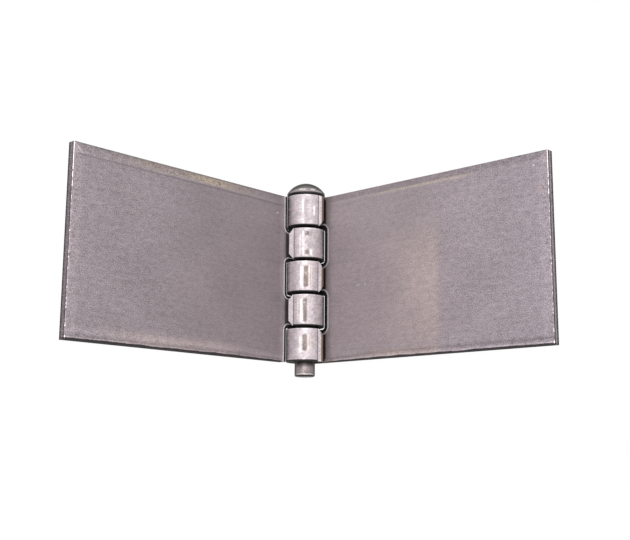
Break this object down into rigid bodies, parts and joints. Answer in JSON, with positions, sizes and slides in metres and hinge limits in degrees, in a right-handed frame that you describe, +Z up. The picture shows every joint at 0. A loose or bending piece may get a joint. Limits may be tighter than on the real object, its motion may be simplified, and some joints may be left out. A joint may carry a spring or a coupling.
{
  "type": "coach hinge",
  "caption": "Undrilled weld-on coach hinge: flat steel leaves with rolled knuckles that turn on a loose domed-head pin, which draws out upwards.",
  "frame": {"origin": "on the pin's axis, level with the leaves' bottom edge", "axes": "+Z up the pin towards its head; +X from the door leaf towards the frame leaf, across the open hinge; -Y is the side on which the knuckles stand proud"},
  "size_m": [0.2458, 0.1178, 0.117],
  "materials": {
    "leaf_steel": "self-colour rolled plate, fine grain, burnished knuckles",
    "pin_steel": "self-colour round bar, satin"
  },
  "bodies": {
    "frame_side": {"frame_leaf": "leaf_steel"},
    "door_side": {"door_leaf": "leaf_steel"},
    "pin": {"hinge_pin": "pin_steel"}
  },
  "joints": [
    {"name": "leaf_fold", "type": "hinge", "parent": "frame_side", "child": "door_side", "pos_m": [0, 0, 0], "axis": [0, 0, 1], "range_deg": [-156, 96]},
    {"name": "pin_draw", "type": "slide", "parent": "frame_side", "child": "pin", "axis": [0, 0, 1], "range_m": [0, 0.11]}
  ]
}
